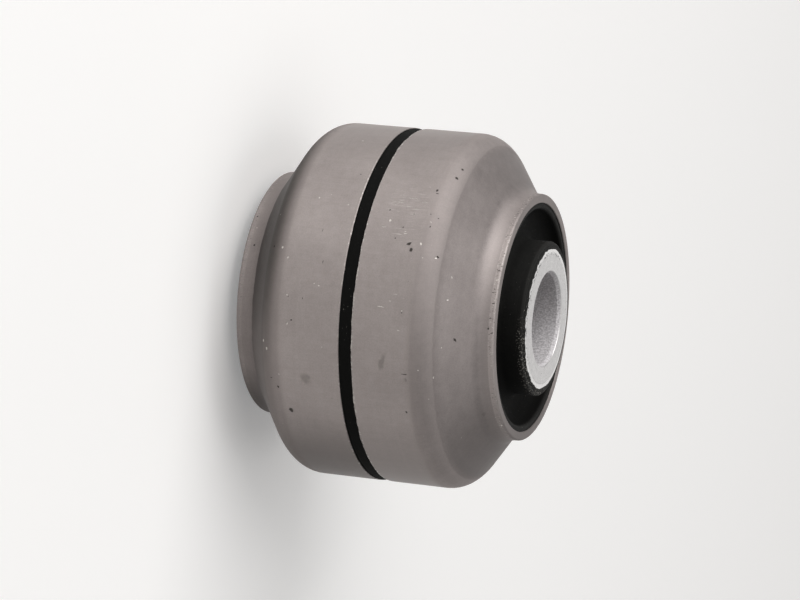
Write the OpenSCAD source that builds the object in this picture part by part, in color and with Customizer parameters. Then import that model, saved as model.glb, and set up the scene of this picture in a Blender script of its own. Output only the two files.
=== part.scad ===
// Stabilizer bushing: two deep-drawn steel half shells, bonded to one rubber moulding that fills
// the space between them and a steel sleeve with a ball-shaped bulge at its middle.
// The axis is Z and the origin is the middle of the bush. It stands on one end of its sleeve.
// Every piece is a revolve, and neighbours share the same outlines, so they seat face to face.

/* [Half shells] */
// Outside diameter of the barrel, which the eye of the bar grips
barrel_d = 80; // [72:0.5:100]
// Height of the straight barrel, from shoulder to shoulder
barrel_h = 29.5; // [24:0.5:60]
// Outside radius of the drawn shoulder
shoulder_r = 6.2; // [4:0.1:8]
// Angle between the conical wall and the axis
cone_angle = 54.8; // [42:0.1:66]
// Outside radius of the hollow bend from the cone to the collar
neck_r = 4.9; // [3:0.1:7]
// Outside diameter of the collar round each mouth
collar_d = 55.4; // [50:0.2:60]
// Height of the straight collar above the hollow bend, rim included
collar_h = 0.95; // [0.8:0.05:6]
// Thickness of the drawn sheet
sheet = 2; // [1:0.1:3]
// Radius of the rolled outer edge of each rim
rim_r = 0.5; // [0.2:0.05:0.7]
// Radius of the small breaks on the trimmed edges
trim_break = 0.2; // [0.1:0.05:0.3]

/* [Gap between the shells] */
// Width of the gap
gap_w = 2.95; // [1.5:0.05:6]
// Height of the gap's middle above the middle of the bush
gap_rise = 0.4; // [0:0.05:1.5]
// Depth of the rubber below the barrel, in the gap
gap_recess = 0.25; // [0.2:0.05:0.8]

/* [Sleeve] */
// Diameter of the bore, for an M20 bolt
bore_d = 20.5; // [14:0.1:24]
// Outside diameter of the sleeve at its ends
sleeve_d = 31.7; // [29:0.1:35]
// Distance that each end of the sleeve stands out of its collar
sleeve_stand = 3.25; // [1.5:0.05:10]
// Diameter of the ball-shaped bulge
bulge_d = 46; // [40:0.5:52]
// Radius of the hollow blend from the bulge to the sleeve's ends
bulge_blend_r = 5; // [3:0.1:7]
// Radial width of the flat bevel round each end face
face_bevel_w = 1.2; // [0.6:0.1:1.8]
// Height of that bevel
face_bevel_h = 0.15; // [0.1:0.05:0.5]
// Width of the steep lead-in at each mouth of the bore
lead_w = 0.6; // [0.3:0.1:1.5]
// Height of that lead-in
lead_h = 0.85; // [0.3:0.05:2]

/* [Rubber] */
// Thickness of the rubber lip inside each collar
lip_w = 1.4; // [0.8:0.1:2.5]
// Distance of the lip's edge below the rim
lip_drop = 0.3; // [0.1:0.05:0.5]
// Thickness of the rubber cuff round each end of the sleeve
cuff_w = 1.5; // [0.8:0.05:2.5]
// Distance of the cuff's edge below the foot of the bevel
cuff_drop = 0.2; // [0.1:0.05:0.8]
// Depth of the round groove between lip and cuff, below the rim
groove_depth = 5; // [3.5:0.1:7]
// Radius of the moulded edges of lip and cuff
mould_r = 0.6; // [0.3:0.05:0.75]

/* [Hidden] */
$fn = 180;

// Turn from one point to the next along a bend, and along a small rounded edge
bend_step = 4;
edge_step = 15;

barrel_r = barrel_d / 2;
barrel_top = barrel_h / 2;
collar_r = collar_d / 2;
bore_r = bore_d / 2;
sleeve_r = sleeve_d / 2;
bulge_r = bulge_d / 2;

// A step along the cone, and one square to it
along = [-sin(cone_angle), cos(cone_angle)];
outward = [cos(cone_angle), sin(cone_angle)];

// The two bends keep their centres at every depth in the sheet, and the cone runs between them
shoulder_centre = [barrel_r - shoulder_r, barrel_top];
cone_foot = shoulder_centre + shoulder_r * outward;
cone_head_r = collar_r + neck_r - neck_r * outward[0];
cone_run = (cone_head_r - cone_foot[0]) / along[0];
neck_centre = cone_foot + cone_run * along + neck_r * outward;

rim_z = neck_centre[1] + collar_h;
face_z = rim_z + sleeve_stand;
gap_top = gap_rise + gap_w / 2;
gap_bottom = gap_rise - gap_w / 2;

lip_z = rim_z - lip_drop;
lip_r = collar_r - sheet - lip_w;
cuff_z = face_z - face_bevel_h - cuff_drop;
cuff_r = sleeve_r + cuff_w;
groove_r = (lip_r - cuff_r) / 2;
groove_centre = [cuff_r + groove_r, rim_z - groove_depth + groove_r];

// The blend touches both the bulge and the wall of the sleeve, which sets its centre
blend_r = sleeve_r + bulge_blend_r;
blend_centre = [blend_r, sqrt((bulge_r + bulge_blend_r) ^ 2 - blend_r ^ 2)];
blend_angle = atan2(blend_centre[1], blend_centre[0]);

// Points along an arc, from one angle to another, with one at its middle
function arc(centre, r, from, to, step) =
    let (steps = 2 * ceil(abs(to - from) / step / 2))
    [for (i = [0:steps])
        let (angle = from + (to - from) * i / steps)
        centre + r * [cos(angle), sin(angle)]];

// The same points in the other half of the section, in the opposite order
function flipped(points) =
    [for (i = [len(points) - 1:-1:0]) [points[i][0], -points[i][1]]];

function backwards(points) =
    [for (i = [len(points) - 1:-1:0]) points[i]];

// Shoulder, cone and neck of a shell at a depth in its sheet, from the barrel to the collar
function bends(depth) = concat(
    arc(shoulder_centre, shoulder_r - depth, 0, cone_angle, bend_step),
    arc(neck_centre, neck_r + depth, 180 + cone_angle, 180, bend_step)
);

// Wall of a shell, from its edge at the gap, over the rim and back down the inside
function shell_section(edge_z) = concat(
    arc([barrel_r - trim_break, edge_z + trim_break], trim_break, -90, 0, edge_step),
    bends(0),
    arc([collar_r - rim_r, rim_z - rim_r], rim_r, 0, 90, edge_step),
    arc([collar_r - sheet + trim_break, rim_z - trim_break], trim_break, 90, 180, edge_step),
    backwards(bends(sheet)),
    [[barrel_r - sheet, edge_z]]
);

// Side of the sleeve between its ends, from the top down: blend, bulge, blend
sleeve_blend = arc(blend_centre, bulge_blend_r, 180, 180 + blend_angle, bend_step);
sleeve_side = concat(
    sleeve_blend,
    arc([0, 0], bulge_r, blend_angle, -blend_angle, bend_step),
    flipped(sleeve_blend)
);

// One end of the sleeve, from the bore to its side: lead-in, end face, bevel
sleeve_end = [
    [bore_r, face_z - lead_h],
    [bore_r + lead_w, face_z],
    [sleeve_r - face_bevel_w, face_z],
    [sleeve_r, face_z - face_bevel_h]
];

// One end of the rubber, from the gap up inside the shell, over the lip, through the groove and
// over the cuff to the sleeve
function rubber_end(edge_z) = concat(
    [[barrel_r - gap_recess, edge_z], [barrel_r - sheet, edge_z]],
    bends(sheet),
    [[collar_r - sheet, lip_z]],
    arc([lip_r + mould_r, lip_z - mould_r], mould_r, 90, 180, edge_step),
    arc(groove_centre, groove_r, 0, -180, bend_step),
    arc([cuff_r - mould_r, cuff_z - mould_r], mould_r, 0, 90, edge_step),
    [[sleeve_r, cuff_z]]
);

module upper_shell() {
    color("darkgray")
        rotate_extrude()
            polygon(shell_section(gap_top));
}

module lower_shell() {
    color("darkgray")
        rotate_extrude()
            polygon(flipped(shell_section(-gap_bottom)));
}

module rubber_body() {
    color([0.06, 0.06, 0.055])
        rotate_extrude()
            polygon(concat(rubber_end(gap_top), sleeve_side, flipped(rubber_end(-gap_bottom))));
}

module inner_sleeve() {
    color("silver")
        rotate_extrude()
            polygon(concat(sleeve_end, sleeve_side, flipped(sleeve_end)));
}

lower_shell();
upper_shell();
rubber_body();
inner_sleeve();
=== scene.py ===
# Stabilizer bushing: drawn steel half shells, moulded rubber and a turned steel sleeve.
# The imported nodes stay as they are. This script gives them their finishes, and adds the small
# leftovers of moulding and pressing that the real one carries.
import random
from math import atan2, cos, hypot, pi, radians, sin

import bmesh
import bpy
from mathutils import Euler, Matrix, Vector, noise


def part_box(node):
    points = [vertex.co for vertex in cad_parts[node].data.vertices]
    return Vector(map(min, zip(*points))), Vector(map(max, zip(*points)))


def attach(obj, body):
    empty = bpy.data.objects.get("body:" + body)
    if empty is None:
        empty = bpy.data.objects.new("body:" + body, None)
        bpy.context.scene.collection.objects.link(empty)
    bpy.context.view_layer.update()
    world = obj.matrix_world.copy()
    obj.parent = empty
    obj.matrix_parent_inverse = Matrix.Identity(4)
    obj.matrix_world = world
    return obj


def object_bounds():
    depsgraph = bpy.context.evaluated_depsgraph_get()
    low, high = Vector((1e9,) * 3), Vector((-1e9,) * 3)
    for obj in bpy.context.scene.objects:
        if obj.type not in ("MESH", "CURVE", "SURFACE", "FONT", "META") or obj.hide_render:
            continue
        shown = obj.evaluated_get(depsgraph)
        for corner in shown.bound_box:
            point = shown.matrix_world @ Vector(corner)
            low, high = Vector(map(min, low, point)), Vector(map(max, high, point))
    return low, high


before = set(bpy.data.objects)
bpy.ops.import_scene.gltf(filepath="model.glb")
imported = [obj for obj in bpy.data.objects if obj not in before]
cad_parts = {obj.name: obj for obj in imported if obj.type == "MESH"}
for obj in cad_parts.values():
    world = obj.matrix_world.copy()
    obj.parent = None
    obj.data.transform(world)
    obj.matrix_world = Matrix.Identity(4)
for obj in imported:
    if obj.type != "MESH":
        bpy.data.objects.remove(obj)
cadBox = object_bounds()
mm = 0.001

scene = bpy.context.scene
scene.view_settings.view_transform = "Standard"


def hexToLinear(code, alpha=1.0):
    # sRGB hex such as "8f8a84" to the linear colour that shaders take
    values = [int(code[i:i + 2], 16) / 255 for i in (0, 2, 4)]
    return [v / 12.92 if v <= 0.04045 else ((v + 0.055) / 1.055) ** 2.4 for v in values] + [alpha]


def addNode(tree, kind, settings=None, *values, **named):
    # Adds a node, sets its properties, then fills or links its inputs in order, or by name. A node
    # that is given as a value stands for the first of its outputs in use.
    node = tree.nodes.new("ShaderNode" + kind)
    for name, value in (settings or {}).items():
        setattr(node, name, value)
    sockets = [socket for socket in node.inputs if socket.enabled][:len(values)]
    sockets += [node.inputs[name.replace("_", " ")] for name in named]
    for socket, value in zip(sockets, [*values, *named.values()]):
        if isinstance(value, bpy.types.Node):
            value = next(output for output in value.outputs if output.enabled)
        if isinstance(value, bpy.types.NodeSocket):
            tree.links.new(value, socket)
        else:
            socket.default_value = value
    return node


def newMaterial(name):
    material = bpy.data.materials.new(name)
    material.use_nodes = True
    material.node_tree.nodes.clear()
    return material, material.node_tree


# Settings that many nodes share
add = {"operation": "ADD"}
subtract = {"operation": "SUBTRACT"}
multiply = {"operation": "MULTIPLY"}
multiplyAdd = {"operation": "MULTIPLY_ADD"}
greater = {"operation": "MAXIMUM"}
smooth = {"interpolation_type": "SMOOTHSTEP"}
colours = {"data_type": "RGBA"}
oneWay = {"noise_dimensions": "1D"}


# Camera

# The bush stands on its sleeve, and the picture shows it lying on its side, so the camera is
# rolled a little past a right angle.
cameraView = {
    "lens": 155.8,  # mm on a 36 mm sensor
    "elevation": 19.28,
    "roll": 95.77,
    "right": -1.389,  # mm from the bush's middle, along the picture's own axes
    "up": 1.054,
    "back": 783.3,
}

turn = Euler((radians(90 - cameraView["elevation"]), 0, 0)).to_matrix() @ \
    Matrix.Rotation(radians(cameraView["roll"]), 3, "Z")

camera = bpy.data.objects.new("camera", bpy.data.cameras.new("camera"))
camera.data.lens = cameraView["lens"]
camera.data.sensor_width = 36
camera.data.clip_start = 0.01
camera.data.clip_end = 50
camera.location = turn @ Vector((cameraView["right"], cameraView["up"], cameraView["back"])) * mm
camera.rotation_euler = turn.to_euler()
scene.collection.objects.link(camera)
scene.camera = camera
print("camera placed")


# Light, floor and surroundings

studio = {
    "world": 0.22,
    "worldSeen": 0.5,  # how pale the surroundings look, straight on and in the metal
    "floor": "edebe9",
    "floorGlow": 0.24,
    "floorSize": 8.0,  # m
}

# Each soft box: bearing from the front towards the picture's top and height above the floor, in
# degrees, then distance, width and height in m, and how bright its face is.
lamps = {
    "sideWindow": (62, 26, 1.7, 2.2, 1.6, 3.0),
    "highFront": (40, 60, 1.1, 0.6, 0.6, 0.4),
    "overhead": (0, 88, 1.0, 1.05, 1.05, 0.75),
    "behind": (178, 20, 1.2, 0.6, 0.6, 0.5),
}


def softBox(name, bearing, height, distance, width, tall, brightness):
    light = bpy.data.lights.new(name, "AREA")
    light.shape = "RECTANGLE"
    light.size = width
    light.size_y = tall
    light.energy = pi * width * tall * brightness
    lamp = bpy.data.objects.new(name, light)
    out = Vector((-sin(radians(bearing)) * cos(radians(height)),
                  -cos(radians(bearing)) * cos(radians(height)), sin(radians(height))))
    lamp.location = out * distance
    lamp.rotation_euler = out.to_track_quat("Z", "Y").to_euler()
    lamp.visible_camera = False
    scene.collection.objects.link(lamp)


for name, settings in lamps.items():
    softBox(name, *settings)


def whereSeen(tree):
    # 1 for what the camera sees straight on, in polished metal or through glass, and 0 for light
    path = addNode(tree, "LightPath").outputs
    seen = addNode(tree, "Math", greater, path["Is Camera Ray"], path["Is Glossy Ray"])
    return addNode(tree, "Math", greater, seen, path["Is Transmission Ray"])


world = bpy.data.worlds.new("studio")
world.use_nodes = True
skyTree = world.node_tree
skyTree.nodes.clear()
strength = addNode(skyTree, "Math", multiplyAdd, whereSeen(skyTree),
                   studio["worldSeen"] - studio["world"], studio["world"])
sky = addNode(skyTree, "Background", None, (1, 1, 1, 1), strength)
addNode(skyTree, "OutputWorld", Surface=sky)
scene.world = world


def paperFloor():
    # White paper sweep: matt all over, with a little extra white where it is looked at, so that
    # it stays pale beside the bush and still takes its shadow.
    material, tree = newMaterial("paperFloor")
    matt = addNode(tree, "BsdfDiffuse", Color=hexToLinear(studio["floor"]))
    glow = addNode(tree, "Math", multiply, whereSeen(tree), studio["floorGlow"])
    glow = addNode(tree, "Emission", Strength=glow)
    addNode(tree, "OutputMaterial", Surface=addNode(tree, "AddShader", None, matt, glow))
    return material


def layFloor():
    bm = bmesh.new()
    bmesh.ops.create_grid(bm, x_segments=1, y_segments=1, size=studio["floorSize"] / 2,
                          matrix=Matrix.Translation((0, 0, cadBox[0].z)))
    mesh = bpy.data.meshes.new("floor")
    bm.to_mesh(mesh)
    bm.free()
    mesh.materials.append(paperFloor())
    floor = bpy.data.objects.new("floor", mesh)
    scene.collection.objects.link(floor)


layFloor()
print("floor and lights placed")


# Materials

# Noise and marks are laid out on the bush's own coordinates, turned into mm here, so that every
# size below is a real one.

def inMillimetres(tree):
    place = addNode(tree, "TexCoord").outputs["Object"]
    return addNode(tree, "VectorMath", {"operation": "SCALE"}, place, Scale=1 / mm)


def fromAxis(tree, point):
    # Distance from the bush's axis, and distance above or below its middle
    parts = addNode(tree, "SeparateXYZ", None, point).outputs
    flat = addNode(tree, "CombineXYZ", None, parts["X"], parts["Y"])
    return (addNode(tree, "VectorMath", {"operation": "LENGTH"}, flat),
            addNode(tree, "Math", {"operation": "ABSOLUTE"}, parts["Z"]))


def wobbled(tree, point, size, amount):
    # Shifts the point by up to about the amount, in mm, so that what is laid out on it gets uneven
    # edges
    shift = addNode(tree, "TexNoise", None, point, Scale=1 / size).outputs["Color"]
    centred = addNode(tree, "VectorMath", subtract, shift, (0.5, 0.5, 0.5))
    return addNode(tree, "VectorMath", multiplyAdd, centred, (amount * 4,) * 3, point)


def chained(tree, settings, total, *others):
    # Three or more values through one kind of Math node: their product, or the greatest of them
    for value in others:
        total = addNode(tree, "Math", settings, total, value)
    return total


def spots(tree, point, size, low, high, detail=2.0):
    # Spots about this many mm across, from where the noise passes low to where it passes high
    flecks = addNode(tree, "TexNoise", None, point, Scale=1 / size, Detail=detail)
    return addNode(tree, "MapRange", smooth, flecks, low, high)


def streaks(tree, point, size, squash, detail=2.0):
    # Noise about this many mm wide, drawn out along the axis
    drawn = addNode(tree, "VectorMath", multiply, point, (1, 1, squash))
    return addNode(tree, "TexNoise", None, drawn, Scale=1 / size, Detail=detail)


def coated(tree, colour, *coats):
    # Lays each coat over the colour, as thickly as its amount says
    for amount, code in coats:
        colour = addNode(tree, "Mix", colours, amount, colour, hexToLinear(code))
    return colour


def within(tree, value, low, high, soft):
    # 1 between low and high, fading out over the given distance beyond them
    rising = addNode(tree, "MapRange", smooth, value, low - soft, low)
    falling = addNode(tree, "MapRange", smooth, value, high, high + soft, 1.0, 0.0)
    return addNode(tree, "Math", multiply, rising, falling)


def facing(tree, point, bearing, near, far):
    # 1 within near degrees of a bearing round the axis, 0 beyond far degrees
    side = (cos(radians(bearing)), sin(radians(bearing)), 0)
    flat = addNode(tree, "VectorMath", multiply, point, (1, 1, 0))
    unit = addNode(tree, "VectorMath", {"operation": "NORMALIZE"}, flat)
    towards = addNode(tree, "VectorMath", {"operation": "DOT_PRODUCT"}, unit, side)
    return addNode(tree, "MapRange", smooth, towards, cos(radians(far)), cos(radians(near)))


def swing(tree, base, *parts):
    # base, plus how far each value lies from a half, times its weight
    for value, weight in parts:
        away = addNode(tree, "Math", multiplyAdd, value, weight, -weight / 2)
        base = addNode(tree, "Math", add, base, away)
    return base


def marksAt(tree, point, places):
    # Soft ellipsoids, each given by its bearing, distance from the axis, height, half width round
    # the axis, half length along it, and tilt
    total = 0.0
    for bearing, radius, height, across, along, tilt in places:
        turned = radians(bearing)
        local = addNode(tree, "Mapping", {"vector_type": "TEXTURE"}, point,
                        (radius * cos(turned), radius * sin(turned), height),
                        (radians(tilt), 0, turned), (0.9, across, along))
        blob = addNode(tree, "TexGradient", {"gradient_type": "SPHERICAL"}, local)
        total = addNode(tree, "Math", greater, total, blob)
    return total


# The half shells

gapEdges = {  # mm above the middle, the edge of each shell at the gap
    "upper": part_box("upper_shell")[0].z / mm,
    "lower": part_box("lower_shell")[1].z / mm,
}

shellLook = {
    "dark": "78716f",  # phosphated steel, at its darkest and lightest
    "light": "aea6a3",
    "bare": "c2bdb7",  # steel that a nick has laid open
    "soot": "25231f",
    "paintedShade": "35322f",  # painted shade, and stains, in this colour
    "roughness": 0.66,
    "cloud": 11.0,  # mm across, as are the next ones
    "mottle": 1.7,
    "grain": 0.26,  # real crystals are a tenth of this, and too fine to show
    "drawLine": 0.5,
    "ring": 1.4,
    "nick": 0.34,
    "hair": 0.26,  # real hairlines are half as wide, and too fine to show
    "stray": 1.3,
    "grainDepth": 0.018,  # mm
    "markDepth": 0.07,
    "sizedTo": 19.65,  # mm from the middle, the end of barrel and shoulder, which the die has pressed
    "drawnOver": (15.6, 19.3),  # mm from the middle, the shoulder, drawn the most and so dullest
    "neckFrom": 26.6,  # mm from the middle, where the cone turns into the paler neck
    "shadedCone": (18.6, 25.5),  # mm from the middle, the cone of the lower shell, darkened with painted shade
    "belt": (28.9, 29.95),  # mm from the middle, the nicked belt below the rim
    "nickedSide": (-128, 25, 70),  # bearing, then full and fading reach, in degrees
    # painted shade: the first on the cone of the lower shell, the second on one side of both shells
    "coneShadeSide": (-135, 25, 75),
    "bottomShadeSide": (0, 21, 56),
    # painted highlight on neck and belt
    "sheenSide": (-78, 30, 72),
}

# Each mark: bearing, distance from the axis, height, half width, half length, tilt (mm, degrees)
upperMarks = {
    "bare": [
        (-126.2, 40, 8.1, 0.07, 1.4, 0), (-125.2, 40, 10.1, 0.08, 3.0, 0),
        (-123.3, 40, 8.2, 0.07, 1.3, 0), (-124.0, 40, 13.4, 0.08, 1.1, 4),
        (-122.3, 40, 7.2, 0.12, 0.5, 0), (-116.4, 40, 7.0, 0.4, 0.35, 20),
        (-114.0, 40, 5.9, 0.07, 0.9, 0), (-113.1, 40, 11.0, 0.2, 0.2, 0),
        (-112.4, 40, 11.1, 0.12, 0.55, 10), (-109.5, 40, 15.1, 0.45, 0.3, 0),
        (-105.9, 38.6, 18.6, 0.25, 0.25, 0), (-101.4, 34.9, 21.6, 0.45, 0.16, 0),
        (-93.2, 35.1, 21.4, 0.22, 0.2, 0), (-88.7, 40, 8.15, 0.1, 1.1, 0),
        (-88.0, 40, 13.1, 0.25, 0.25, 0), (-81.9, 40, 12.6, 0.12, 0.4, 0),
        (-76.4, 35.7, 21.0, 0.2, 0.2, 0), (-69.7, 39.5, 17.1, 0.22, 0.22, 0),
        (-66.5, 37.3, 19.8, 0.35, 0.18, 0), (-28.7, 27.7, 29.5, 0.5, 0.3, 0),
    ],
    "soot": [
        (-141.7, 38.95, 18.2, 0.4, 0.4, 0), (-136.7, 39.05, 18.0, 0.55, 0.4, 30),
        (-129.2, 39.98, 15.2, 0.5, 0.35, 0), (-128.0, 40, 15.5, 0.12, 0.5, 0),
        (-120.1, 40, 6.2, 0.2, 0.2, 0), (-119.3, 40, 11.9, 0.2, 0.2, 0),
        (-119.9, 40, 15.6, 0.2, 0.2, 0), (-119.1, 39.4, 17.3, 0.2, 0.2, 0),
        (-114.5, 40, 10.2, 0.25, 0.2, 0), (-115.7, 39.9, 16.2, 0.35, 0.14, 0),
        (-110.5, 40, 9.0, 0.2, 0.2, 0), (-109.2, 40, 12.4, 0.4, 0.8, 25),
        (-107.2, 40, 13.1, 0.55, 0.5, -20), (-106.4, 38.6, 18.9, 0.35, 0.3, 0),
        (-87.5, 40, 13.1, 0.4, 0.08, 0), (-78.6, 32.8, 23.05, 0.75, 0.2, 23),
        (-83.0, 27.7, 28.8, 0.35, 0.3, 0), (-68.1, 40, 14.0, 0.14, 1.0, 0),
        (-54.8, 40, 13.9, 0.4, 0.35, 0),
    ],
    "stain": [
        (-71.5, 40, 9.0, 2.9, 0.9, -19), (-66.5, 40, 14.5, 0.7, 0.5, 0),
        # the last one darkens a soft patch on the neck
        (-38.7, 28.4, 26.6, 1.3, 1.0, 0),
    ],
    "rubbed": [
        (-123.0, 40, 9.5, 5.5, 5.5, 0), (-113.0, 40, 11.0, 3.0, 3.5, 0),
        (-92.0, 40, 12.0, 2.5, 1.5, 0),
    ],
}
lowerMarks = {
    "bare": [
        (-122.2, 40, -10.7, 0.3, 0.25, 0), (-120.6, 40, -3.5, 0.12, 0.4, 0),
        (-104.2, 39.8, -16.2, 0.4, 0.35, 0), (-101.1, 40, -14.4, 0.4, 0.3, 0),
        (-93.8, 40, -7.5, 0.28, 0.2, 0), (-93.2, 40, -6.4, 0.2, 0.25, 0),
        (-89.4, 40, -13.5, 0.25, 0.25, 0), (-80.5, 40, -13.0, 0.3, 0.2, 0),
        (-71.3, 38.9, -18.2, 0.5, 0.3, 0), (-73.4, 38.0, -19.3, 0.4, 0.35, 0),
    ],
    "soot": [
        (-104.7, 38.7, -18.6, 0.35, 0.3, 0), (-88.8, 40, -9.9, 0.35, 0.13, 0),
        (-81.7, 40, -12.1, 0.28, 0.2, 0), (-50.5, 40, -13.3, 0.85, 0.6, 30),
        (-59.0, 39.95, -15.6, 0.45, 0.35, 0), (-61.6, 39.5, -17.2, 0.13, 0.35, 0),
        (-110.8, 40, -7.8, 0.5, 0.08, 0), (-100.8, 40, -6.3, 0.5, 0.08, 0),
        (-110.6, 27.9, -27.8, 0.35, 0.3, 0), (-125.9, 27.7, -29.2, 0.35, 0.3, 0),
        (-89.0, 40, -13.2, 0.2, 0.2, 0),
    ],
    "stain": [
        (-63.0, 40, -9.0, 2.2, 1.4, 15),
    ],
    "rubbed": [],
}


def beltNicks(tree, point, belt, wearAndGlint):
    # Bright nicks and dark pits in the belt below a rim, thickest where the bush has been handled
    flecks = streaks(tree, point, shellLook["nick"], 0.6)
    nicked = facing(tree, point, *shellLook["nickedSide"])
    amount = swing(tree, wearAndGlint * 0.7, (nicked, wearAndGlint * 0.6))
    amount = addNode(tree, "Math", multiply, belt, amount)
    sparks = addNode(tree, "MapRange", smooth, flecks, 0.64, 0.7)
    pits = addNode(tree, "MapRange", smooth, flecks, 0.31, 0.37, 1.0, 0.0)
    return (addNode(tree, "Math", multiply, amount, sparks),
            addNode(tree, "Math", multiply, amount, pits))


# Painted shade: darkens the cone of the lower shell, most on one side, and one side of both shells,
# less on the shoulder
def paintedShadeMask(tree, point, jagged, cloud, drawn, paintedShadeAmount):
    # Thin dirt on the cone of a grimy shell and, on both, along the side that has lain lowest
    low, high = shellLook["shadedCone"]
    coneShadeFacing = facing(tree, point, *shellLook["coneShadeSide"])
    cone = chained(tree, multiply,
                   addNode(tree, "MapRange", smooth, jagged, low - 4.0, low + 0.8),
                   addNode(tree, "MapRange", smooth, jagged, high, high + 0.3, 1.0, 0.0),
                   swing(tree, paintedShadeAmount * 0.75, (coneShadeFacing, paintedShadeAmount * 0.7)))
    side = chained(tree, multiply,
                   facing(tree, point, *shellLook["bottomShadeSide"]),
                   swing(tree, 0.26 + paintedShadeAmount * 0.43, (cloud, 0.3)),
                   addNode(tree, "Math", multiplyAdd, drawn, paintedShadeAmount - 1, 1.0))
    return addNode(tree, "Math", greater, cone, side)


def drawnSteel(name, marks, trimmedAt, wearAndGlint, paintedShadeAmount):
    # Drawn steel sheet with a grey phosphate film: matt, faintly mottled, a shade lighter on barrel,
    # shoulder and neck, which the die has pressed, and dullest on the shoulder. Nicks cut through to
    # bright steel.
    look = shellLook
    material, tree = newMaterial(name)
    point = inMillimetres(tree)
    height = fromAxis(tree, point)[1]
    cloud = addNode(tree, "TexNoise", None, point, Scale=1 / look["cloud"], Detail=3.0)
    mottle = addNode(tree, "TexNoise", None, point, Scale=1 / look["mottle"], Detail=3.0)
    grain = addNode(tree, "TexNoise", None, point, Scale=1 / look["grain"], Detail=1.0)
    lines = streaks(tree, point, look["drawLine"], 0.05)
    rings = addNode(tree, "TexNoise", oneWay, height, Scale=1 / look["ring"], Detail=3.0)

    # Zones that the press has left, with slightly uneven borders
    jagged = swing(tree, height, (mottle, 0.6))
    sized, neckFrom = look["sizedTo"], look["neckFrom"]
    pressed = addNode(tree, "MapRange", smooth, jagged, sized - 0.15, sized + 0.15, 1.0, 0.0)
    neck = addNode(tree, "MapRange", smooth, jagged, neckFrom - 0.5, neckFrom + 0.5)
    drawn = within(tree, jagged, *look["drawnOver"], 1.5)
    belt = within(tree, height, *look["belt"], 0.15)

    # The trimmed edge is sheared bright, in places
    edge = chained(tree, multiply, within(tree, height, trimmedAt - 0.05, trimmedAt + 0.22, 0.08),
                   spots(tree, point, 0.7, 0.48, 0.66, 4.0), 0.3 + 0.5 * wearAndGlint)

    # Single marks, those that follow from handling, and strays all over
    uneven = wobbled(tree, point, 0.5, 0.12)
    sparks, pits = beltNicks(tree, point, belt, wearAndGlint)
    strays = addNode(tree, "TexNoise", None, point, Scale=1 / look["stray"])
    hairs = addNode(tree, "MapRange", smooth, streaks(tree, point, look["hair"], 0.1), 0.58, 0.7)
    rubbed = chained(tree, multiply, marksAt(tree, point, marks["rubbed"]), hairs, 0.75)
    bare = addNode(tree, "MapRange", smooth, marksAt(tree, uneven, marks["bare"]), 0.15, 0.6)
    bright = addNode(tree, "MapRange", smooth, strays, 0.765, 0.8, 0.0, 0.5)
    bare = chained(tree, greater, bare, sparks, edge, rubbed, bright)
    soot = addNode(tree, "MapRange", smooth, marksAt(tree, uneven, marks["soot"]), 0.12, 0.5)
    dark = addNode(tree, "MapRange", smooth, strays, 0.18, 0.215, 0.8, 0.0)
    soot = chained(tree, greater, soot, pits, dark)
    stain = marksAt(tree, wobbled(tree, point, 1.5, 0.4), marks["stain"])
    stain = addNode(tree, "MapRange", smooth, stain, 0.05, 0.7, 0.0, 0.3)
    # painted shade on the lower cone and on one side of both shells
    paintedShade = paintedShadeMask(tree, point, jagged, cloud, drawn, paintedShadeAmount)
    stainAndShade = addNode(tree, "Math", greater, stain, paintedShade)

    # Painted highlight: neck and belt a little brighter on the side towards the camera
    wornAndSheen = chained(tree, multiply, swing(tree, 0.22, (neck, 0.1), (belt, 0.34)),
                   facing(tree, point, *look["sheenSide"]), neck, wearAndGlint)
    shade = swing(tree, 0.45, (cloud, 0.35), (mottle, 0.3), (grain, 0.45), (lines, 0.12),
                  (rings, 0.1), (pressed, 0.16), (neck, 0.04))
    shade = addNode(tree, "Math", add, shade, wornAndSheen)
    sooty = addNode(tree, "Math", multiply, soot, 0.85)
    colour = coated(tree, hexToLinear(look["dark"]), (shade, look["light"]), (stainAndShade, look["paintedShade"]),
                    (sooty, look["soot"]), (bare, look["bare"]))

    dull = swing(tree, look["roughness"], (mottle, 0.12), (grain, 0.16), (pressed, -0.05),
                 (drawn, 0.2), (neck, 0.08))
    dull = addNode(tree, "Math", multiplyAdd, bare, -0.22, dull)
    skin = swing(tree, 0.5, (grain, 0.5), (mottle, 0.2), (lines, 0.12))
    bump = addNode(tree, "Bump", Distance=look["grainDepth"] * mm, Height=skin)
    nicked = addNode(tree, "Math", multiply, bare, 0.6)
    dents = addNode(tree, "Math", greater, soot, nicked)
    dents = addNode(tree, "Math", subtract, 1.0, dents)
    bump = addNode(tree, "Bump", Distance=look["markDepth"] * mm, Height=dents, Normal=bump)
    shader = addNode(tree, "BsdfPrincipled", Base_Color=colour, Metallic=1.0, Roughness=dull,
                     Normal=bump)
    addNode(tree, "OutputMaterial", Surface=shader)
    return material


# The sleeve

sleeveLook = {
    "face": ("a4a19f", "e0dedd"),  # darkest and lightest
    "bevel": "f0eeec",
    "bore": ("aba7a8", "d9d6d7"),
    "nick": "4a4745",
    "roughness": 0.36,
    "boreRoughness": 0.8,
    "mottle": 1.6,  # mm across, as are the next two
    "fine": 0.3,
    "boreGrain": 0.34,  # the real grain is finer, and wouldn't show
    "cut": 0.16,  # mm between the rings left by the facing tool
    "cutDepth": 0.012,  # mm
    "boreDepth": 0.06,
    "nickDepth": 0.08,
    "bevelFrom": 14.65,  # mm from the axis
    "boreTo": 10.68,
    "nickedSide": (-135, 45, 95),  # bearing, then full and fading reach, in degrees
}


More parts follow.
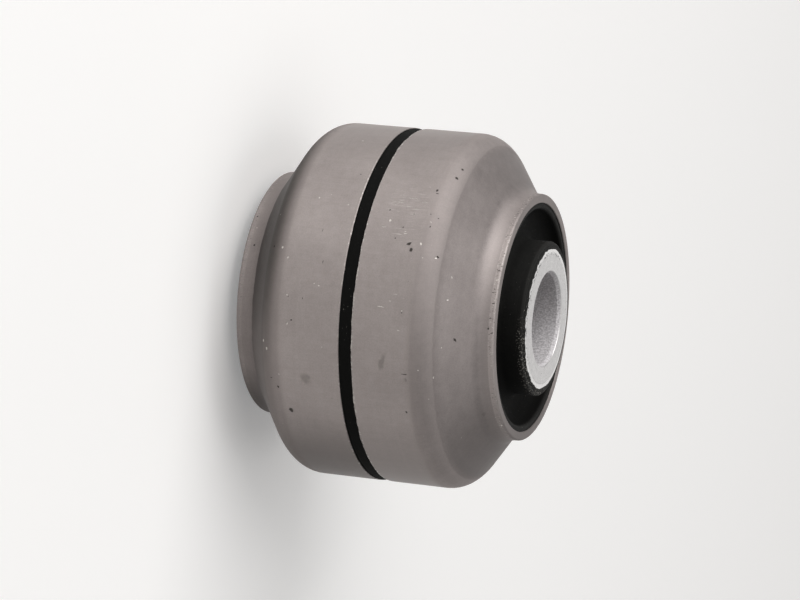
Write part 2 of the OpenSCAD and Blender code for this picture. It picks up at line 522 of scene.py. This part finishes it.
def turnedSteel(name):
    # Turned steel: fine rings on the end faces, a brighter bevel, and a bore that is left rough and
    # pale, so it scatters light where the faces shine
    look = sleeveLook
    material, tree = newMaterial(name)
    point = inMillimetres(tree)
    radius = fromAxis(tree, point)[0]
    mottle = addNode(tree, "TexNoise", None, point, Scale=1 / look["mottle"], Detail=3.0)
    fine = addNode(tree, "TexNoise", None, point, Scale=1 / look["fine"])
    across = swing(tree, radius, (mottle, 0.06))
    rings = addNode(tree, "TexNoise", oneWay, across, Scale=1 / look["cut"], Detail=3.0)
    coarse = streaks(tree, point, look["boreGrain"], 0.8, 3.0)
    boreTo, bevelFrom = look["boreTo"], look["bevelFrom"]
    inBore = addNode(tree, "MapRange", smooth, radius, boreTo, boreTo + 0.1, 1.0, 0.0)
    onBevel = addNode(tree, "MapRange", smooth, radius, bevelFrom - 0.03, bevelFrom + 0.05)

    nicks = chained(tree, multiply,
                    within(tree, radius, bevelFrom - 0.12, bevelFrom + 0.3, 0.12),
                    spots(tree, point, 0.5, 0.52, 0.62),
                    swing(tree, 0.6, (facing(tree, point, *look["nickedSide"]), 0.8)))
    scuffs = addNode(tree, "Math", multiply, spots(tree, point, 0.7, 0.66, 0.72, 4.0), 0.6)

    shade = swing(tree, 0.55, (rings, 0.5), (mottle, 0.6), (fine, 1.0))
    brighter = addNode(tree, "Math", multiply, onBevel, 0.7)
    marked = addNode(tree, "Math", greater, nicks, scuffs)
    face = coated(tree, hexToLinear(look["face"][0]), (shade, look["face"][1]),
                  (brighter, look["bevel"]), (marked, look["nick"]))
    bore = addNode(tree, "MapRange", smooth, coarse, 0.3, 0.72)
    bore = coated(tree, hexToLinear(look["bore"][0]), (bore, look["bore"][1]))
    colour = addNode(tree, "Mix", colours, inBore, face, bore)

    dull = swing(tree, look["roughness"], (rings, 0.12), (mottle, 0.15))
    rougher = look["boreRoughness"] - look["roughness"]
    dull = addNode(tree, "Math", multiplyAdd, inBore, rougher, dull)
    metallic = addNode(tree, "Math", multiplyAdd, inBore, -0.65, 1.0)
    outside = addNode(tree, "Math", subtract, 1.0, inBore)
    bump = addNode(tree, "Bump", Distance=look["cutDepth"] * mm,
                   Height=addNode(tree, "Math", multiply, rings, outside))
    bump = addNode(tree, "Bump", Distance=look["boreDepth"] * mm,
                   Height=addNode(tree, "Math", multiply, coarse, inBore), Normal=bump)
    bump = addNode(tree, "Bump", Distance=look["nickDepth"] * mm,
                   Height=addNode(tree, "Math", subtract, 1.0, nicks), Normal=bump)
    shader = addNode(tree, "BsdfPrincipled", Base_Color=colour, Metallic=metallic, Roughness=dull,
                     Normal=bump)
    addNode(tree, "OutputMaterial", Surface=shader)
    return material


# The rubber

rubberLook = {
    "deep": "080807",
    # random wear, and painted sheen on lip and cuff, in this colour
    "wornAndSheen": "262523",
    "bloom": "7d7a74",  # pale residue of bonding agent and talc
    "roughness": 0.72,
    "specular": 0.14,
    "cloud": 4.0,  # mm across, as are the next four
    "mottle": 0.9,
    "pore": 0.22,  # real pores are finer, and wouldn't show
    "speck": 0.38,
    "flow": 0.5,
    "poreDepth": 0.05,  # mm
    "lip": (24.2, 25.8),  # mm from the axis, as are the next two
    "cuff": (15.7, 17.5),
    "gap": (39.0, 39.4),
    "lipSheenFrom": (29.3, 29.7),  # mm from the middle, as are the next two, each fading in; the first two start the painted sheen on lip and cuff
    "cuffWornFrom": (32.3, 32.8),
    "specksFrom": (31.6, 32.4),
    "specksSide": (-30, 32, 64),  # bearing, then full and fading reach, in degrees
}


def mouldedRubber(name):
    # Moulded natural rubber filled with carbon black: deep black with a low, broken sheen, a painted
    # sheen on lip and cuff, painted shade that keeps it deepest black in the gap, and pale residue
    # beside the sleeve
    look = rubberLook
    material, tree = newMaterial(name)
    point = inMillimetres(tree)
    radius, height = fromAxis(tree, point)
    cloud = addNode(tree, "TexNoise", None, point, Scale=1 / look["cloud"], Detail=3.0)
    mottle = addNode(tree, "TexNoise", None, point, Scale=1 / look["mottle"], Detail=3.0)
    pores = addNode(tree, "TexNoise", None, point, Scale=1 / look["pore"])
    upwards = swing(tree, height, (cloud, 1.2))
    flow = addNode(tree, "TexNoise", oneWay, upwards, Scale=1 / look["flow"])
    lip = addNode(tree, "Math", multiply, within(tree, radius, *look["lip"], 0.3),
                  addNode(tree, "MapRange", smooth, height, *look["lipSheenFrom"]))
    cuff = addNode(tree, "Math", multiply, within(tree, radius, *look["cuff"], 0.2),
                   addNode(tree, "MapRange", smooth, height, *look["cuffWornFrom"]))
    specks = chained(tree, multiply,
                     spots(tree, point, look["speck"], 0.57, 0.64, 3.0),
                     within(tree, radius, *look["cuff"], 0.4),
                     addNode(tree, "MapRange", smooth, height, *look["specksFrom"]),
                     facing(tree, point, *look["specksSide"]))
    stray = addNode(tree, "Math", multiply, spots(tree, point, 0.5, 0.72, 0.76), 0.4)

    wearAndSheen = swing(tree, 0.18, (cloud, 0.3), (mottle, 0.35), (flow, 0.2))
    # painted sheen: the tops of lip and cuff a shade lighter
    raised = addNode(tree, "Math", greater, lip, cuff)
    wearAndSheen = addNode(tree, "Math", multiplyAdd, raised, 0.25, wearAndSheen)
    # painted shade: in the gap the rubber keeps its deepest black
    gapShadeFactor = addNode(tree, "MapRange", smooth, radius, *look["gap"], 1.0, 0.1)
    wearAndSheen = addNode(tree, "Math", multiply, wearAndSheen, gapShadeFactor)
    residue = addNode(tree, "Math", greater, specks, stray)
    colour = coated(tree, hexToLinear(look["deep"]), (wearAndSheen, look["wornAndSheen"]),
                    (residue, look["bloom"]))
    dull = swing(tree, look["roughness"], (mottle, 0.2), (flow, 0.1))
    duller = addNode(tree, "MapRange", smooth, radius, *look["gap"], 0.0, 0.25)
    dull = addNode(tree, "Math", add, dull, duller)
    skin = swing(tree, 0.5, (pores, 0.6), (mottle, 0.5), (flow, 0.4))
    bump = addNode(tree, "Bump", Distance=look["poreDepth"] * mm, Height=skin)
    shader = addNode(tree, "BsdfPrincipled", Base_Color=colour, Roughness=dull, Normal=bump,
                     Specular_IOR_Level=look["specular"])
    addNode(tree, "OutputMaterial", Surface=shader)
    return material


finishes = {
    "upper_shell": drawnSteel("upperDrawnSteel", upperMarks, gapEdges["upper"],
                              wearAndGlint=1.0, paintedShadeAmount=0.0),
    "lower_shell": drawnSteel("lowerDrawnSteel", lowerMarks, -gapEdges["lower"],
                              wearAndGlint=0.35, paintedShadeAmount=0.75),
    "inner_sleeve": turnedSteel("turnedSteel"),
    "rubber_body": mouldedRubber("mouldedRubber"),
}
for name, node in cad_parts.items():
    for materialSlot in node.material_slots:
        materialSlot.material = finishes[name]
print("finishes given")


# Leftovers of moulding and trimming

barrelRadius = 40  # mm


def ragged(bearing, size, seed):
    # Noise round the axis, from about -1 to 1, with bumps of the given width on the barrel in mm
    reach = barrelRadius / size
    return noise.noise(Vector((cos(bearing) * reach, sin(bearing) * reach, seed)))


def addPiece(name, bm, material):
    bmesh.ops.remove_doubles(bm, verts=bm.verts[:], dist=1e-7)
    bmesh.ops.recalc_face_normals(bm, faces=bm.faces[:])
    for face in bm.faces:
        face.smooth = True
    mesh = bpy.data.meshes.new(name)
    bm.to_mesh(mesh)
    bm.free()
    mesh.materials.append(material)
    piece = bpy.data.objects.new(name, mesh)
    scene.collection.objects.link(piece)
    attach(piece, "root")


def addBead(name, material, steps, points, rule):
    # A round bead spun round the axis. The rule then gives each of its points a radius and a height
    # in mm, from its bearing and its place on the bead's circle, out and up from -1 to 1.
    bm = bmesh.new()
    bmesh.ops.create_circle(bm, cap_ends=False, segments=points, radius=0.25,
                            matrix=Matrix.Translation((1, 0, 0)) @ Matrix.Rotation(pi / 2, 4, "X"))
    bmesh.ops.spin(bm, geom=bm.verts[:] + bm.edges[:], cent=(0, 0, 0), axis=(0, 0, 1),
                   angle=2 * pi, steps=steps, use_merge=True)
    for vert in bm.verts:
        bearing = atan2(vert.co.y, vert.co.x)
        out = (hypot(vert.co.x, vert.co.y) - 1) / 0.25
        radius, height = rule(bearing, out, vert.co.z / 0.25)
        vert.co = Vector((cos(bearing) * radius, sin(bearing) * radius, height)) * mm
    addPiece(name, bm, material)


# Rubber flash that has crept out of the mould over the edge of the sleeve, most of it on one side
bevelFlash = {
    "steps": 600,  # round the axis
    "points": 8,  # round the bead
    "cuffTop": 33.03,  # mm from the middle
    "bevelFoot": 33.23,
    "top": 33.376,
    "sleeveRadius": 15.85,  # mm from the axis
    "slope": 0.125,
    "widest": 0.95,  # mm
    "overCuff": 0.5,
    "thickness": 0.05,
    "side": radians(-85),
}


def bevelFlashRule(end, seed):
    look = bevelFlash
    edge = look["sleeveRadius"]

    def rule(bearing, out, up):
        side = 0.5 + 0.5 * cos(bearing - look["side"])
        reach = 0.25 + 0.5 * ragged(bearing, 9, seed) + 0.4 * ragged(bearing, 2.2, seed + 5)
        reach = max(0.02, look["widest"] * (0.15 + 0.85 * side ** 1.5) * (0.35 + reach))
        inner = edge - min(reach, look["widest"])
        outer = edge + look["overCuff"] + 0.15 * ragged(bearing, 3, seed + 9)
        radius = inner + (outer - inner) * (1 + out) / 2
        if radius < edge:
            under = look["bevelFoot"] + (edge - radius) * look["slope"]
        else:
            fall = min(1, (radius - edge) / 0.45)
            eased = fall * fall * (3 - 2 * fall)
            under = look["bevelFoot"] - (look["bevelFoot"] - look["cuffTop"]) * eased
        lift = 1 + 0.5 * ragged(bearing, 1.5, seed + 2)
        return radius, end * min(look["top"], under + up * look["thickness"] * lift)

    return rule


# Thin skin of rubber where the mould closed on each rim
lipSkin = {
    "steps": 600,
    "points": 8,
    "rim": 25.7,  # mm from the axis, the inside of the collar
    "lipTop": 29.83,  # mm from the middle
    "width": 0.1,  # mm
    "height": 0.14,
}


def lipSkinRule(end, seed):
    look = lipSkin

    def rule(bearing, out, up):
        rough = 0.6 + ragged(bearing, 4, seed) + 0.5 * ragged(bearing, 1, seed + 3)
        tall = look["height"] * max(0.1, rough)
        wide = look["width"] * (1 + 0.6 * ragged(bearing, 2, seed + 6))
        radius = look["rim"] - 0.08 + wide * out
        return min(radius, look["rim"] + 0.02), end * (look["lipTop"] + tall * max(up, -0.4))

    return rule


# Thin skin of rubber along each edge of the gap
gapSkin = {
    "steps": 720,
    "points": 6,
    "rubber": 39.75,  # mm from the axis
    "outermost": 39.9,
    "width": 0.28,  # mm
    "thickness": 0.1,
    "underEdge": 0.04,
}


def gapSkinRule(edge, side, seed):
    # side is 1 where the skin lies below an edge and -1 where it lies above it
    look = gapSkin

    def rule(bearing, out, up):
        wide = look["width"] + 0.3 * ragged(bearing, 5, seed) + 0.2 * ragged(bearing, 1.2, seed + 4)
        wide = max(0.05, wide)
        thick = look["thickness"] + 0.06 * ragged(bearing, 2, seed + 7)
        height = edge - side * wide * (1 - up * side) / 2 + side * look["underEdge"]
        return min(look["outermost"], look["rubber"] + thick * max(out, -0.3)), height

    return rule


for name, look, rule in (
    ("upperBevelFlash", bevelFlash, bevelFlashRule(1, 3.1)),
    ("lowerBevelFlash", bevelFlash, bevelFlashRule(-1, 8.4)),
    ("upperLipSkin", lipSkin, lipSkinRule(1, 1.7)),
    ("lowerLipSkin", lipSkin, lipSkinRule(-1, 6.2)),
    ("upperGapSkin", gapSkin, gapSkinRule(gapEdges["upper"], 1, 2.3)),
    ("lowerGapSkin", gapSkin, gapSkinRule(gapEdges["lower"], -1, 7.9)),
):
    addBead(name, finishes["rubber_body"], look["steps"], look["points"], rule)
print("rubber flash added")


# Burr that the trimming tool has left on each shell's edge at the gap
trimBurr = {
    "steps": 900,
    "points": 6,
    "radius": 39.93,  # mm from the axis
    "outermost": 39.99,
    "proud": 0.16,  # mm
    "root": 0.12,
    "thickness": 0.05,
    "amounts": (0.4, -0.35),  # on the upper and the lower shell
}


def trimBurrRule(edge, side, amount, seed):
    look = trimBurr

    def rule(bearing, out, up):
        rough = ragged(bearing, 6, seed) + 0.7 * ragged(bearing, 1.3, seed + 3) + \
            0.6 * ragged(bearing, 0.5, seed + 5)
        proud = look["proud"] * max(0.0, amount + rough)
        thick = look["thickness"] * (1 + 0.6 * ragged(bearing, 0.7, seed + 8))
        radius = look["radius"] + thick * out
        reach = (1 - up * side) / 2
        height = edge + side * (look["root"] - (look["root"] + proud) * reach)
        return min(radius, look["outermost"]), height

    return rule


for name, node, rule in (
    ("upperTrimBurr", "upper_shell", trimBurrRule(gapEdges["upper"], 1, trimBurr["amounts"][0], 4.4)),
    ("lowerTrimBurr", "lower_shell", trimBurrRule(gapEdges["lower"], -1, trimBurr["amounts"][1], 9.6)),
):
    addBead(name, finishes[node], trimBurr["steps"], trimBurr["points"], rule)
print("trimming burrs added")


# Crumbs of rubber and bonding agent left beside the sleeve
crumbs = {
    "count": 46,
    "bearings": (-95, 5),  # degrees
    "sizes": (0.05, 0.17),  # mm
    "radii": (15.95, 17.1),  # mm from the axis, of those lying anywhere on the cuff
    "closeRadii": (15.95, 16.5),  # and of those lying close to the sleeve
    "cuffTop": 33.03,  # mm from the middle
    "cuffEdge": 16.75,  # mm from the axis, where the cuff rounds off
    "seed": 12,
    "dark": "3d3b38",
    "light": "a8a39b",
    "patch": 0.8,  # mm
    "grit": 0.08,
    "gritDepth": 0.02,
}


def addCrumbs(name, end, seed, material):
    bm = bmesh.new()
    dice = random.Random(seed)
    for index in range(crumbs["count"]):
        bearing = radians(dice.uniform(*crumbs["bearings"]))
        size = dice.uniform(*crumbs["sizes"]) * dice.uniform(0.6, 1.0)
        radius = dice.choice((dice.uniform(*crumbs["radii"]), dice.uniform(*crumbs["closeRadii"])))
        height = crumbs["cuffTop"] - max(0.0, radius - crumbs["cuffEdge"]) * 0.6
        place = Vector((cos(bearing) * radius, sin(bearing) * radius, end * height)) * mm
        shape = Matrix.Diagonal((1, dice.uniform(0.6, 1.6), dice.uniform(0.4, 0.8), 1))
        lean = Euler((dice.uniform(-0.5, 0.5), dice.uniform(-0.5, 0.5), dice.uniform(0, pi)))
        matrix = Matrix.Translation(place) @ lean.to_matrix().to_4x4() @ shape
        made = bmesh.ops.create_icosphere(bm, subdivisions=2, radius=size * mm, matrix=matrix)
        for vert in made["verts"]:
            way = vert.co - place
            vert.co = place + way * (1 + 0.35 * noise.noise(way / mm * 9 + Vector((index, 0, 0))))
    addPiece(name, bm, material)


def driedAgent():
    # Dried bonding agent mixed with rubber dust: dull grey, darker where more rubber is in it
    material, tree = newMaterial("driedAgent")
    point = inMillimetres(tree)
    patch = addNode(tree, "TexNoise", None, point, Scale=1 / crumbs["patch"], Detail=3.0)
    lighter = addNode(tree, "MapRange", smooth, patch, 0.4, 0.6)
    colour = coated(tree, hexToLinear(crumbs["dark"]), (lighter, crumbs["light"]))
    grit = addNode(tree, "TexNoise", None, point, Scale=1 / crumbs["grit"])
    bump = addNode(tree, "Bump", Distance=crumbs["gritDepth"] * mm, Height=grit)
    shader = addNode(tree, "BsdfPrincipled", Base_Color=colour, Normal=bump,
                     Roughness=swing(tree, 0.75, (patch, 0.3)))
    addNode(tree, "OutputMaterial", Surface=shader)
    return material


agent = driedAgent()
addCrumbs("upperCrumbs", 1, crumbs["seed"], agent)
addCrumbs("lowerCrumbs", -1, crumbs["seed"] + 9, agent)
print("crumbs added")
